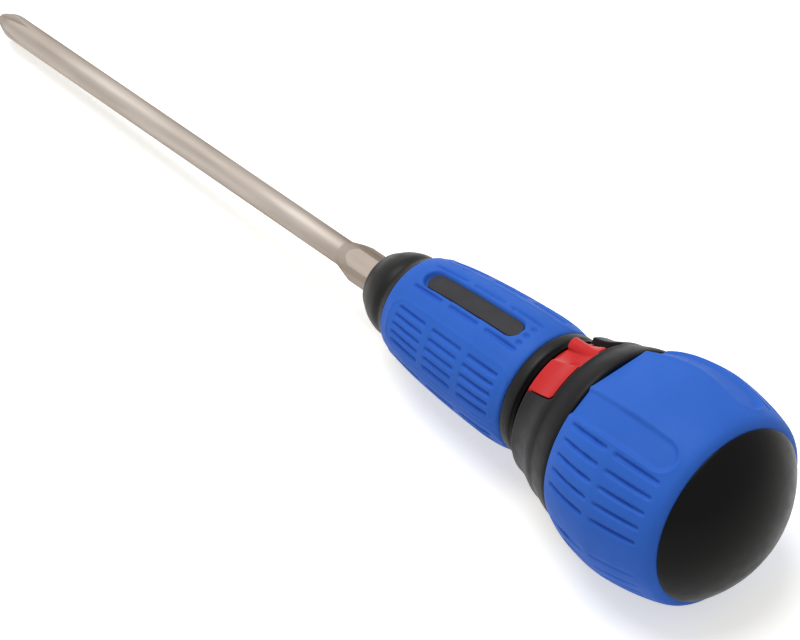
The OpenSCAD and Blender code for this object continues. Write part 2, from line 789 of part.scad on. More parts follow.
module detent_ball() {
    color([0.75, 0.76, 0.78]) on_axis() rotate(detent_turn)
        translate([detent_ball_r, 0, detent_at]) sphere(r = detent_r);
}

module detent_spring() {
    color([0.7, 0.7, 0.68]) on_axis() outward(detent_turn, detent_at)
        translate([0, 0, detent_floor_r + spring_wire])
            coil(detent_r - spring_wire, spring_wire,
                 detent_ball_r - detent_r - detent_floor_r - 2 * spring_wire, detent_coils);
}

// The collar, the ball and the cap

// A slanted fill for the window's corner, which passes outside the lever's round corner
module corner_fill(turn, at) {
    leg = corner_r * (2 - sqrt(2));
    outward(turn, at) linear_extrude(ball_r)
        polygon([[-over, over], [leg + over, over], [-over, -leg - over]]);
}

module ratchet_collar() {
    color([0.14, 0.14, 0.15]) on_axis() difference() {
        rotate_extrude() polygon(concat(collar_out,
            [[housing_r + press_gap, ball_at], [housing_r + press_gap, ring_end + side_gap],
             [collar_in_r, ring_end + side_gap], [collar_in_r, collar_at]]));
        difference() {
            sector(lever_far - selector_throw - window_gap_turn, lever_near + window_gap_turn)
                translate([ring_r, collar_at - over])
                    square([ball_r, window_end - collar_at + over]);
            corner_fill(lever_near + window_gap_turn, window_end);
        }
    }
}

module rear_core() {
    color([0.17, 0.17, 0.18]) on_axis() difference() {
        union() {
            translate([0, 0, spigot_at]) cylinder(r = cavity_r - press_gap, h = ball_at - spigot_at + over);
            solid_of(moved_in(ball_out, ball_wall + press_gap));
        }
        translate([0, 0, spigot_at - over]) cylinder(r = tail_r + side_gap, h = ball_end);
        translate([0, 0, tail_bush_at])
            cylinder(r = tail_bush_r + press_gap, h = ball_end);
        translate([0, 0, tail_bush_end]) cylinder(r = tail_room_r, h = ball_end);
        translate([0, 0, shaft_tail_end + over]) cylinder(r = cap_spigot_r + press_gap, h = ball_end);
        pin_holes();
    }
}

// A floor that is straight across the ball and bends along it through three points. The
// children are cut where they lie outside it.
module over_floor(turn, floor) {
    mid = centre_of(floor[0], floor[1], floor[2]);
    difference() {
        children();
        rotate(turn) translate([mid.x, 0, mid.y]) rotate([quarter_turn, 0, 0])
            cylinder(r = norm(floor[0] - mid), h = 4 * ball_r, center = true);
    }
}

// A pocket open at the ball's front edge, with a round end
module pocket(turn) {
    l = pocket_end - ball_at + pocket_w;
    over_floor(turn, [[ball_front_r - pocket_h, ball_at], [ball_r - pocket_h, ball_wide_at],
                      [r_of(ball_out, pocket_end) - pocket_h, pocket_end]])
        pill_block(turn, pocket_end - l / 2, l, pocket_w);
}

// A wide flat dish from the front edge over the widest place of the ball
module dish(turn) {
    side = cos(dish_turn);
    over_floor(turn, [[ball_front_r * side, ball_at], [ball_r * side, ball_wide_at],
                      [r_of(ball_out, dish_end), dish_end]])
        rotate(turn) translate([0, -ball_r, ball_at - over])
            cube([2 * ball_r, 2 * ball_r, ball_end - ball_at]);
}

module ball_panels() {
    for (half = [0, half_turn]) dish(panel_turn + half);
    for (place = both_sides(pocket_turn)) pocket(panel_turn + place);
}

module ball_grooves() {
    for (panel = both_sides(ball_rows_turn)) for (row = around(ball_rows, ball_row_turn))
        for (col = [0:ball_columns - 1])
            groove(ball_out, panel_turn + panel + row,
                   ball_at + ball_front_margin + col * (ball_groove_l + ball_column_gap),
                   ball_groove_l, ball_groove_turn);
}

module ball_grip() {
    color([0.12, 0.35, 0.85]) on_axis() difference() {
        skin_of(ball_out, moved_in(ball_out, ball_wall));
        ball_panels();
        ball_grooves();
    }
}

module end_cap() {
    color([0.13, 0.13, 0.14]) on_axis() {
        difference() {
            intersection() {
                translate([0, 0, dome_mid]) sphere(r = dome_r);
                translate([0, 0, ball_end]) cylinder(r = cap_r, h = dome_r);
            }
            translate([0, 0, dome_mid]) sphere(r = dome_r - cap_wall);
        }
        intersection() {
            ring(cap_spigot_r - cap_wall, cap_spigot_r, ball_end - cap_spigot_l, ball_end + dome_r);
            translate([0, 0, dome_mid]) sphere(r = dome_r - cap_wall / 2);
        }
    }
}

screwdriver_bit();
nose_collar();
front_grip();
inlay_plate();
front_core();
spindle_shaft();
chuck_ring();
chuck_magnet();
ratchet_gear();
forward_pawl();
reverse_pawl();
pawl_pins();
pawl_spring();
ratchet_housing();
front_bush();
rear_bush();
thrust_washer();
tail_washer();
retaining_ring();
selector_ring();
detent_ball();
detent_spring();
ratchet_collar();
rear_core();
ball_grip();
end_cap();
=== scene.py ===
import json
import math

import bmesh
import bpy
import numpy as np
from mathutils import Matrix, Vector
from mathutils.bvhtree import BVHTree


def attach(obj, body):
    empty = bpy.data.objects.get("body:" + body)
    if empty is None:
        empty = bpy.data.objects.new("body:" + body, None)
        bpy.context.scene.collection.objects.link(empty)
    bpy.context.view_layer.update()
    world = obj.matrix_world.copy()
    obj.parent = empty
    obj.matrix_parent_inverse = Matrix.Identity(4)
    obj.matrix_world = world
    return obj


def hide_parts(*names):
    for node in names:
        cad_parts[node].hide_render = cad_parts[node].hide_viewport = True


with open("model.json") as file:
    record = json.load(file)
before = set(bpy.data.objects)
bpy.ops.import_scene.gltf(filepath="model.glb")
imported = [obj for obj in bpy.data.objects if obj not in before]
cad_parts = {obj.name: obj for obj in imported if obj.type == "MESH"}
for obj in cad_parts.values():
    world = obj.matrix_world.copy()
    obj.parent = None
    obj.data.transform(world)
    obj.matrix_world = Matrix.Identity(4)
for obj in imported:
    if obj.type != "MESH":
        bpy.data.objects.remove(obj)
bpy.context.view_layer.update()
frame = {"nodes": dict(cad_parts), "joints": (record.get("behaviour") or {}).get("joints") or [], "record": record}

# Lengths in this file are in millimetres, except where a comment says metres. A place on the
# tool has a distance behind the mouth of the nose (d), an angle from the top (turn) and a
# radius (r). The blade lies at negative distances.
MM = 0.001
FULL_TURN = 2 * math.pi
QUARTER_TURN = math.pi / 2


# Reading the frame

def vertices(node_name):
    """A node's vertices in millimetres."""
    mesh = frame["nodes"][node_name].data
    co = np.empty(len(mesh.vertices) * 3, np.float32)
    mesh.vertices.foreach_get("co", co)
    return co.reshape(-1, 3) / MM


def corners(node_name):
    """Places of a node's vertices: distance behind the mouth, angle from the top, radius."""
    x, y, z = vertices(node_name).T
    return -x, np.arctan2(y, z), np.hypot(y, z)


def outline(node_name, low=0.0):
    """Outer outline of a node: rising distances, and the largest radius over a limit there."""
    d, _, r = corners(node_name)
    at = np.round(d, 2)
    places = np.unique(at[r > low])
    return places, np.array([r[at == p].max() for p in places])


def bell(x, width):
    """A smooth bump, 1 at zero."""
    return np.exp(-0.5 * (x / width) ** 2)


def soft_step(x, start, end):
    """A smooth rise from 0 to 1 between two values."""
    t = np.clip((x - start) / (end - start), 0, 1)
    return t * t * (3 - 2 * t)


def lip_places(lip, steps):
    """Distances from an end with a round lip, closer together towards the end."""
    return lip * (1 - np.cos(np.linspace(0, QUARTER_TURN, steps + 1)))[:-1]


def lip_drop(from_end, lip):
    """How far the outline falls towards an end that has a round lip."""
    short = np.clip(lip - from_end, 0, lip)
    return lip - np.sqrt(np.maximum(lip ** 2 - short ** 2, 0))


def curved_corner(start, corner, end, t):
    """A point of the curve that rounds a corner, with t from 0 to 1."""
    return start * (1 - t) ** 2 + corner * 2 * t * (1 - t) + end * t ** 2


def upper_hull(d, r):
    """Points of a crowned outline, without the floors of the grooves cut into it."""
    hull = []
    for p in zip(d, r):
        while len(hull) > 1 and ((hull[-1][0] - hull[-2][0]) * (p[1] - hull[-2][1])
                                 >= (hull[-1][1] - hull[-2][1]) * (p[0] - hull[-2][0])):
            hull.pop()
        hull.append(p)
    return np.array(hull).T


def smooth_line(d, r, blur):
    """The same outline with its corners rounded, as a function of the distance."""
    step = 0.05
    reach = int(4 * blur / step)
    at = np.arange(d[0] - reach * step, d[-1] + (reach + 1) * step, step)
    line = np.interp(at, d, r)
    line[at < d[0]] = r[0] + (at[at < d[0]] - d[0]) * (r[1] - r[0]) / (d[1] - d[0])
    line[at > d[-1]] = r[-1] + (at[at > d[-1]] - d[-1]) * (r[-1] - r[-2]) / (d[-1] - d[-2])
    kernel = bell(np.arange(-reach, reach + 1) * step, blur)
    soft = np.convolve(line, kernel / kernel.sum(), mode="same")
    return lambda x: np.interp(x, at, soft)


def cad_radius(node_name, d, turn, outer):
    """Radius of a node's outside at each distance and angle, found along rays to the axis."""
    mesh = frame["nodes"][node_name].data
    tree = BVHTree.FromPolygons([v.co for v in mesh.vertices],
                                [p.vertices for p in mesh.polygons])
    found = np.full((len(d), len(turn)), np.nan)
    for j, a in enumerate(turn):
        way = Vector((0, math.sin(a), math.cos(a)))
        for i, at in enumerate(d):
            hit = tree.ray_cast(Vector((-at * MM, 0, 0)) + way * outer * MM, -way, outer * MM)
            if hit[0]:
                found[i, j] = math.hypot(hit[0].y, hit[0].z) / MM
    return found


def blurred(field, across, along):
    """A height field with soft edges. Its columns go right round the tool."""
    def kernel(width):
        reach = max(1, int(3 * width))
        k = bell(np.arange(-reach, reach + 1), width)
        return k / k.sum(), reach
    k, reach = kernel(across)
    joined = np.concatenate([field[:, -reach:], field, field[:, :reach]], axis=1)
    field = np.array([np.convolve(row, k, mode="valid") for row in joined])
    k, reach = kernel(along)
    padded = np.pad(field, ((reach, reach), (0, 0)), mode="edge")
    return np.array([np.convolve(col, k, mode="valid") for col in padded.T]).T


# Making meshes

# Points closer than this are one, in metres
MEET = 1e-7
LATHE_COLUMNS = 240


def link_object(name, data):
    obj = bpy.data.objects.new(name, data)
    bpy.context.scene.collection.objects.link(obj)
    return obj


def add_piece(name, mesh, body, mat, cad_node):
    """A smooth piece that rides on a body and stands for a CAD node."""
    mesh.shade_smooth()
    obj = link_object(name, mesh)
    mesh.materials.clear()
    mesh.materials.append(mat)
    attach(obj, body)
    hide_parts(cad_node)


def mesh_of(name, points, faces):
    """A mesh from points in metres and faces, with points that meet merged."""
    mesh = bpy.data.meshes.new(name)
    mesh.from_pydata(np.asarray(points).tolist(), [], faces)
    made = bmesh.new()
    made.from_mesh(mesh)
    bmesh.ops.remove_doubles(made, verts=made.verts, dist=MEET)
    loose = [e for e in made.edges if not e.link_faces]
    bmesh.ops.delete(made, geom=loose, context="EDGES")
    bmesh.ops.recalc_face_normals(made, faces=made.faces)
    made.to_mesh(mesh)
    made.free()
    return mesh


def around_axis(d, turn, r):
    """Points in metres from distances behind the mouth, angles from the top and radii."""
    return np.stack([-d * MM, r * np.sin(turn) * MM, r * np.cos(turn) * MM], axis=-1)


def grid_faces(rows, columns):
    """Quads of a grid that closes round the tool and along it."""
    faces = []
    for i in range(rows):
        a, b = i * columns, (i + 1) % rows * columns
        faces += [(a + j, a + (j + 1) % columns, b + (j + 1) % columns, b + j)
                  for j in range(columns)]
    return faces


def lathe(name, profile, body, mat, cad_node):
    """A closed ring turned from a profile of (distance, radius) points."""
    d, r = np.array(profile, float).T
    turn = np.arange(LATHE_COLUMNS) * FULL_TURN / LATHE_COLUMNS
    points = around_axis(np.repeat(d[:, None], LATHE_COLUMNS, 1), turn[None, :],
                         np.repeat(r[:, None], LATHE_COLUMNS, 1))
    mesh = mesh_of(name, points.reshape(-1, 3), grid_faces(len(d), LATHE_COLUMNS))
    add_piece(name, mesh, body, mat, cad_node)


def rounded(profile):
    """A closed profile of (distance, radius, round) points with its corners rounded."""
    steps, largest_share = 6, 0.45
    out = []
    for i, (d, r, size) in enumerate(profile):
        here = np.array((d, r), float)
        if not size:
            out.append(here)
            continue
        a, b = (np.array(profile[k % len(profile)][:2], float) - here for k in (i - 1, i + 1))
        la, lb = np.linalg.norm(a), np.linalg.norm(b)
        p, q = (here + a * min(size / la, largest_share),
                here + b * min(size / lb, largest_share))
        out += [curved_corner(p, here, q, t) for t in np.linspace(0, 1, steps + 1)]
    return out


def moulded(name, cad_node, body, mat, voxel, passes, shaped):
    """A CAD node's shape with the soft edges that a moulded part has. A function of the
    distance, angle and radius then moves its points."""
    obj = link_object(name, frame["nodes"][cad_node].data.copy())
    grid = obj.modifiers.new("grid", "REMESH")
    grid.mode = "VOXEL"
    grid.voxel_size = voxel * MM
    soft = obj.modifiers.new("soft", "SMOOTH")
    soft.factor = 0.5
    soft.iterations = passes
    graph = bpy.context.evaluated_depsgraph_get()
    mesh = bpy.data.meshes.new_from_object(obj.evaluated_get(graph))
    bpy.data.objects.remove(obj)
    co = np.empty(len(mesh.vertices) * 3, np.float32)
    mesh.vertices.foreach_get("co", co)
    x, y, z = co.reshape(-1, 3).T
    d, turn, r = shaped(-x / MM, np.arctan2(y, z), np.hypot(y, z) / MM)
    mesh.vertices.foreach_set("co", around_axis(d, turn, r).ravel())
    mesh.update()
    mesh.name = name
    add_piece(name, mesh, body, mat, cad_node)


# Materials

def node(tree, kind, **values):
    """A new shader node with the given inputs or settings."""
    n = tree.nodes.new(kind)
    for key, value in values.items():
        if key in n.inputs:
            n.inputs[key].default_value = value
        else:
            setattr(n, key, value)
    return n


def material(name, colour, rough, **shader):
    """A material with its colour, roughness and other shader values set on their sockets."""
    mat = bpy.data.materials.new(name)
    mat.use_nodes = True
    bsdf = mat.node_tree.nodes["Principled BSDF"]
    bsdf.inputs["Base Color"].default_value = (*colour, 1)
    bsdf.inputs["Roughness"].default_value = rough
    for key, value in shader.items():
        bsdf.inputs[key.replace("_", " ")].default_value = value
    return mat


def colours(sockets):
    return [s for s in sockets if s.type == "RGBA"]


def noise(mat, scale, stretch=(1, 1, 1), start=(0, 0, 0)):
    """Noise that sits on the object, with a scale in features per metre."""
    tree = mat.node_tree
    where = node(tree, "ShaderNodeTexCoord")
    place = node(tree, "ShaderNodeMapping", Scale=stretch, Location=start)
    tex = node(tree, "ShaderNodeTexNoise", Scale=scale, Detail=3)
    tree.links.new(where.outputs["Object"], place.inputs["Vector"])
    tree.links.new(place.outputs["Vector"], tex.inputs["Vector"])
    return tex.outputs["Fac"]


def ramped(mat, value, low, high, start=0.3, end=0.7):
    """Maps a value between start and end onto a range of another value."""
    tree = mat.node_tree
    n = node(tree, "ShaderNodeMapRange")
    for key, number in (("From Min", start), ("From Max", end),
                        ("To Min", low), ("To Max", high)):
        n.inputs[key].default_value = number
    tree.links.new(value, n.inputs["Value"])
    return n.outputs["Result"]


def add_grain(mat, scale, height, strength, stretch=(1, 1, 1)):
    """A fine grain in the surface, with its height in millimetres."""
    tree = mat.node_tree
    bump = node(tree, "ShaderNodeBump", Strength=strength, Distance=height * MM)
    tree.links.new(noise(mat, scale, stretch), bump.inputs["Height"])
    tree.links.new(bump.outputs["Normal"], tree.nodes["Principled BSDF"].inputs["Normal"])


def vary_roughness(mat, scale, low, high, stretch=(1, 1, 1)):
    tree = mat.node_tree
    value = ramped(mat, noise(mat, scale, stretch), low, high)
    tree.links.new(value, tree.nodes["Principled BSDF"].inputs["Roughness"])


def vary_colour(mat, scale, dark, light, stretch=(1, 1, 1), start=(0, 0, 0)):
    """Blends two close colours by a slow noise."""
    tree = mat.node_tree
    mix = node(tree, "ShaderNodeMix", data_type="RGBA")
    for socket, colour in zip(colours(mix.inputs), (dark, light)):
        socket.default_value = (*colour, 1)
    tree.links.new(ramped(mat, noise(mat, scale, stretch, start), 0, 1), mix.inputs[0])
    tree.links.new(colours(mix.outputs)[0], tree.nodes["Principled BSDF"].inputs["Base Color"])


def tinted_along(mat, start, end, tint):
    """Tints a varied colour more and more between two distances behind the mouth."""
    tree = mat.node_tree
    base = tree.nodes["Principled BSDF"].inputs["Base Color"]
    where = node(tree, "ShaderNodeTexCoord")
    split = node(tree, "ShaderNodeSeparateXYZ")
    mix = node(tree, "ShaderNodeMix", data_type="RGBA", blend_type="MULTIPLY")
    varied, tinted = colours(mix.inputs)
    tinted.default_value = (*tint, 1)
    tree.links.new(where.outputs["Object"], split.inputs[0])
    tree.links.new(ramped(mat, split.outputs["X"], 0, 1, -start * MM, -end * MM),
                   mix.inputs[0])
    tree.links.new(base.links[0].from_socket, varied)
    tree.links.new(colours(mix.outputs)[0], base)


def shade(colour, by):
    return tuple(c * by for c in colour)


# Name, colour, roughness and specular level of the black mouldings
BLACKS = (("black_plastic", (0.0100, 0.0095, 0.0095), 0.42, 0.17),
          ("collar_black", (0.0140, 0.0135, 0.0145), 0.46, 0.15),
          ("cap_black", (0.0032, 0.0030, 0.0030), 0.33, 0.09),
          ("inlay_black", (0.0300, 0.0285, 0.0330), 0.50, 0.2))
# Name, colour and roughness of the metals
METALS = (("shaft_steel", (0.52, 0.53, 0.55), 0.32),
          ("spring_steel", (0.46, 0.46, 0.47), 0.3),
          ("magnet", (0.55, 0.55, 0.56), 0.25),
          ("hard_steel", (0.36, 0.36, 0.37), 0.38),
          ("housing_steel", (0.004, 0.0036, 0.0036), 0.5),
          ("bronze", (0.55, 0.37, 0.19), 0.45))
# Stretches a noise along the tool
ALONG = (0.06, 1, 1)


def make_materials():
    """The materials by the names of the record's slots."""
    m = {}
    blue = (0.032, 0.134, 0.570)
    rubber = m["blue_rubber"] = material("blue_rubber", blue, 0.55, Specular_IOR_Level=0.10,
                                         Sheen_Weight=0.03, Sheen_Roughness=0.45,
                                         Sheen_Tint=(0.3, 0.5, 1, 1))
    vary_colour(rubber, 90, shade(blue, 0.955), shade(blue, 1.045))
    vary_roughness(rubber, 260, 0.50, 0.62)
    add_grain(rubber, 5200, 0.012, 0.5)

    for name, colour, rough, gloss in BLACKS:
        m[name] = material(name, colour, rough, Specular_IOR_Level=gloss)
        vary_colour(m[name], 300, shade(colour, 0.90), shade(colour, 1.10))
        vary_roughness(m[name], 420, rough - 0.05, rough + 0.06)
        add_grain(m[name], 6500, 0.008, 0.35)
    # The rear band of the collar is painted darker, with a slight blue cast: painted shade
    tinted_along(m["collar_black"], 54.4, 54.7, (0.5, 0.52, 0.56))

    # The subsurface scale is in metres
    red = (0.590, 0.022, 0.023)
    lever_red = m["red_plastic"] = material("red_plastic", red, 0.34, Specular_IOR_Level=0.18,
                                            Subsurface_Weight=0.06, Subsurface_Scale=0.0015)
    vary_colour(lever_red, 260, shade(red, 0.96), shade(red, 1.04))
    vary_roughness(lever_red, 380, 0.30, 0.40)
    add_grain(lever_red, 5000, 0.006, 0.3)

    steel = m["bit_steel"] = material("bit_steel", (0.50, 0.45, 0.40), 0.5, Metallic=0.85,
                                      Specular_Tint=(0.20, 0.16, 0.13, 1))
    # Besides random streaks, the noise's offset is set so that a darker streak runs along one edge of the blade
    # and a lighter one along its middle: painted shade and painted highlight
    vary_colour(steel, 300, (0.37, 0.318, 0.276), (0.56, 0.503, 0.456),
                stretch=(0.08, 1, 1), start=(0.2, 0.02, 0.06))
    # The bit is darker towards its hexagon
    tinted_along(steel, -22, -7, (0.72, 0.69, 0.66))
    vary_roughness(steel, 700, 0.46, 0.60, stretch=ALONG)
    add_grain(steel, 3000, 0.01, 0.3, stretch=ALONG)

    for name, colour, rough in METALS:
        m[name] = material(name, colour, rough, Metallic=1.0)
        vary_colour(m[name], 700, shade(colour, 0.95), shade(colour, 1.05), stretch=ALONG)
        vary_roughness(m[name], 900, rough - 0.06, rough + 0.08, stretch=ALONG)
        add_grain(m[name], 3000, 0.01, 0.3, stretch=ALONG)

    m["washer_plastic"] = material("washer_plastic", (0.72, 0.71, 0.67), 0.45)
    vary_colour(m["washer_plastic"], 500, (0.69, 0.68, 0.64), (0.74, 0.73, 0.69))
    vary_roughness(m["washer_plastic"], 600, 0.4, 0.52)
    return m


# The rubber grips

# Relief above this is a groove, and below it is a pocket or the window
DEEPEST_GROOVE = -0.8
# Relief below the first number, or none where a ray misses, is given the second
LOWEST_RELIEF, WINDOW_RELIEF = -1.8, -1.3
RAY_MARGIN = 5
# Steps round each lip of a grip
LIP_STEPS = 6


def rubber_skin(name, cad_node, body, mat, wall, columns, step, lip, relief_of):
    """A rubber sleeve over its core: the CAD outside with moulded soft edges and round lips.
    Its relief is read at twice the columns, changed by relief_of, and then halved."""
    hull_d, hull_r = upper_hull(*outline(cad_node))
    start, end, widest = hull_d[0], hull_d[-1], hull_r.max()
    line = smooth_line(hull_d, hull_r, blur=0.55)
    fine = np.arange(2 * columns) * FULL_TURN / (2 * columns)
    inside = np.arange(start + step / 2, end, step)
    cad = cad_radius(cad_node, inside, fine, widest + RAY_MARGIN)
    relief = cad - np.interp(inside, hull_d, hull_r)[:, None]
    relief = np.where(np.isnan(relief) | (relief < LOWEST_RELIEF), WINDOW_RELIEF, relief)
    across = widest * FULL_TURN / (2 * columns)
    relief = relief_of(inside[:, None], fine[None, :], widest, relief,
                       lambda field, size: blurred(field, size / across, size / step))[:, ::2]
    turn = fine[::2]
    rim = lip_places(lip, LIP_STEPS)
    d = np.concatenate([start + rim, np.arange(start + lip, end - lip, step),
                        (end - rim)[::-1]])
    r = line(d)[:, None] + np.array([np.interp(d, inside, column) for column in relief.T]).T
    r = r - lip_drop(np.minimum(d - start, end - d), lip)[:, None]
    inner_d = np.array([end, (start + end) / 2, start])
    inner_r = np.interp(inner_d, hull_d, hull_r) - wall
    outside = around_axis(d[:, None] + 0 * r, turn[None, :], r)
    lining = around_axis(inner_d[:, None] + 0 * turn, turn[None, :],
                         inner_r[:, None] + 0 * turn)
    points = np.concatenate([outside, lining])
    mesh = mesh_of(name, points.reshape(-1, 3), grid_faces(len(points), columns))
    add_piece(name, mesh, body, mat, cad_node)


def wrapped(turn):
    """Angles brought into half a turn either way."""
    return (turn + math.pi) % FULL_TURN - math.pi


def near_either(turn, degrees):
    """How far each angle is from one angle or from the one opposite it."""
    return np.minimum(np.abs(wrapped(turn - math.radians(degrees))),
                      np.abs(wrapped(turn - math.radians(degrees + 180))))


def grip_relief(d, turn, outer, relief, blur):
    """The front grip's grooves and the low step round each of its grooved panels."""
    relief = blur(np.where(relief > DEEPEST_GROOVE, 1.3 * relief, relief), 0.17)
    half_w, half_l, corner, centre = 5.9, 15.4, 3.2, 26.7
    step_h, step_w = 0.10, 0.28
    for middle in np.radians((66.2, -53.8, 126.2, -113.8)):
        x = np.abs(wrapped(turn - middle)) * outer - (half_w - corner)
        y = np.abs(d - centre) - (half_l - corner)
        off = (np.hypot(np.maximum(x, 0), np.maximum(y, 0))
               + np.minimum(np.maximum(x, y), 0) - corner)
        relief = relief + step_h * bell(off, step_w)
    return relief


def ball_relief(d, turn, outer, relief, blur):
    """The ball's grooves, and its pockets and plain panels. The plain panels run out softly
    at the back, and the grooves are faint on the side that lies towards the floor."""
    panel = near_either(turn, -1.5)
    soft = (1 - soft_step(panel, math.radians(15), math.radians(21))) * soft_step(d, 66, 74)
    faint = soft_step(turn, math.radians(88), math.radians(96)) * (
        1 - soft_step(turn, math.radians(146), math.radians(154)))
    rows = soft_step(panel, math.radians(39.5), math.radians(41.5))
    grooved = np.where(relief > DEEPEST_GROOVE, (1.25 - 0.95 * faint) * relief, relief)
    pocket_r, pocket_half_w, pocket_end = 19.6, 2.7, 79.9
    rim_h, rim_at, rim_w = 0.18, 0.45, 0.3
    for middle in np.radians((29.5, -32.5, -150.5, 147.5)):
        x = pocket_r * np.abs(wrapped(turn - middle))
        off = np.hypot(x, np.maximum(d - pocket_end, 0)) - pocket_half_w
        relief = relief + rim_h * bell(off - rim_at, rim_w)
    plain = blur(relief, 0.25) * (1 - soft) + blur(relief, 1.5) * soft
    return blur(grooved, 0.18) * rows + plain * (1 - rows)


# The turned and moulded pieces

BIT_COLUMNS = 360
TIP_SHORTER = 1.3
# How far the hexagon stands out of the nose, and the flare after it
HEX_OUT, FLARE_L = 6.6, 4.3
# The chamfer at the hexagon's rear end
CHAMFER_L, CHAMFER_R = 0.55, 0.6
FLUTE_L = 9.6
RIB_TURN = math.radians(49)
# Distances from the tip and radii of the point
POINT_FORM = ((0, 0.4), (0.04, 0.66), (0.14, 0.86), (0.3, 1.02), (0.6, 1.2), (1.4, 1.55),
              (2.6, 2.02), (3.6, 2.36))
POINT_L = 4.6
# How far a shape stands proud of one that it only has to clear
CLEAR = 0.02


def bit(mat):
    """The bit: a shorter flare than in the CAD, and its crossed point a little rounder."""
    d, _, r = corners("screwdriver_bit")
    back, tip, hex_r = d.max(), d.min() + TIP_SHORTER, r.max()
    middle_of_blade = -104
    blade_r = r[np.abs(d - middle_of_blade) < 0.1].max()
    # The sections are close together at the flare and at the point, and few in between
    d = np.concatenate([[back, back - CHAMFER_L, -HEX_OUT + 0.3],
                        np.arange(-HEX_OUT, -12.4, -0.2), [-30, -60, tip + 11],
                        np.arange(tip + 10.4, tip + 0.6, -0.12),
                        tip + np.array([0.5, 0.3, 0.14, 0.04, 0])])
    turn = np.arange(BIT_COLUMNS) * FULL_TURN / BIT_COLUMNS
    flat = (turn % (FULL_TURN / 6)) - FULL_TURN / 12
    hexagon = hex_r * math.cos(FULL_TURN / 12) / np.cos(flat)
    cone = np.interp(d, [-HEX_OUT - FLARE_L, -HEX_OUT, back - CHAMFER_L, back],
                     [blade_r, hex_r + CLEAR, hex_r + CLEAR, hex_r - CHAMFER_R])
    point_d, point_r = np.transpose(POINT_FORM)
    point = np.interp(d, tip + np.append(point_d, POINT_L), np.append(point_r, blade_r))
    # Each flute is two flat walls that meet at a right angle, halfway between two ribs
    edge = np.interp(d, [tip, tip + FLUTE_L], [0.75, blade_r + CLEAR])
    off = np.abs((turn - RIB_TURN) % (FULL_TURN / 4) - FULL_TURN / 8)
    flute = edge[:, None] / np.maximum(np.cos(off) - np.sin(off), 0.05)[None, :]
    r = np.where((d < tip + FLUTE_L)[:, None], np.minimum(point[:, None], flute),
                 np.minimum(hexagon[None, :], cone[:, None]))
    closing = np.zeros((1, BIT_COLUMNS))
    d, r = np.concatenate([[back], d, [tip]]), np.concatenate([closing, r, closing])
    points = around_axis(d[:, None] + 0 * r, turn[None, :], r)
    mesh = mesh_of("blade_and_point", points.reshape(-1, 3), grid_faces(len(d), BIT_COLUMNS))
    add_piece("blade_and_point", mesh, "bit", mat, "screwdriver_bit")


def inlay(mat):
    """The bare inlay of the front grip, a little clear of the rubber at its front end."""
    d, turn, _ = corners("inlay_plate")
    back, middle = d.max(), (turn.max() + turn.min()) / 2
    length, width = 0.972, 0.965
    def shaped(d, turn, r):
        return back + (d - back) * length, middle + (turn - middle) * width, r
    moulded("inlay_shell", "inlay_plate", "spindle", mat,
            voxel=0.12, passes=3, shaped=shaped)


def end_cap(mat):
    """The plain dome at the rear, with a round shoulder and a spigot into the ball."""
    d, _, r = corners("end_cap")
    top, rim = d.max(), r.max()
    edge = d[r > rim - 0.01].min()
    spigot = r[d < edge - 1].max()
    wall, under, shoulder_l, shoulder_r = 2.2, 0.2, 1.5, 0.45
    # The sphere through the rim and the top
    round_r = (rim ** 2 + (top - edge) ** 2) / (2 * (top - edge))
    middle = top - round_r
    def dome(shell, from_d, along, steps):
        """From a distance, and a length along the dome after it, up to the axis."""
        low = math.asin((from_d - middle) / shell) + along / shell
        return [np.array((middle + shell * math.sin(a), shell * math.cos(a)))
                for a in np.linspace(low, QUARTER_TURN, steps)]
    outer = dome(round_r, edge, shoulder_l, 48)
    shoulder = [curved_corner(np.array((edge, rim - shoulder_r)), np.array((edge, rim)),
                              outer[0], t) for t in np.linspace(0, 1, 10)[:-1]]
    bore = spigot - wall
    inner = [p for p in dome(round_r - wall, edge + under, 0, 24)[::-1] if p[1] < bore]
    foot = [(edge + under, bore), (d.min(), bore), (d.min(), spigot), (edge, spigot)]
    lathe("end_cap_shell", shoulder + outer + inner + foot, "handle", mat,
          "end_cap")


# Radii over this are at the outside of the nose and of the front core
OVER_BORE = 5.2
# Depth, distance and width of the two valleys round the nose
NOSE_VALLEYS = ((0.16, 7.25, 0.42), (0.50, 0.6, 1.3))


def nose(mat):
    """The nose ring, slimmer at its lip and with a soft valley in front of the grip."""
    places, radii = outline("nose_collar", low=OVER_BORE)
    _, _, r = corners("nose_collar")
    bore, seat = r.min(), r[r > r.min() + 0.3].min()
    line = smooth_line(places, radii, blur=0.25)
    end, lip, chamfer, seat_at = places[-1], 0.6, 0.3, 1.3
    d = np.concatenate([lip_places(lip, 7), np.arange(lip, end, 0.15), [end]])
    outer = line(d) - lip_drop(d, lip)
    for depth, at, width in NOSE_VALLEYS:
        outer -= depth * bell(d - at, width)
    profile = [(chamfer, bore), (0, bore + chamfer), *zip(d, outer),
               (end, seat), (seat_at, seat), (seat_at, bore)]
    lathe("nose_shell", profile, "spindle", mat, "nose_collar")


def neck(mat):
    """The core of the front grip, with its flange as a rounded ring, a little larger than
    in the CAD."""
    places, radii = outline("front_core", low=OVER_BORE)
    _, _, r = corners("front_core")
    bore = r.min()
    ring_at = places[radii > radii.max() - 0.5].min()
    ring_end, ring_r, edge_round = places[-1] + 0.25, radii.max() + 0.12, 0.9
    under = [(a, b) for a, b in zip(places, radii) if a < ring_at - 0.1]
    ring = rounded([(ring_at - 0.05, under[-1][1], 0), (ring_at, ring_r, edge_round),
                    (ring_end, ring_r, edge_round), (ring_end, bore, 0)])
    lathe("neck_ring", under + ring + [(under[0][0], bore)], "spindle", mat,
          "front_core")


# Where the CAD's collar begins, and a radius between its inside and its outside
COLLAR_FRONT = 47.7
IN_COLLAR = 12.8
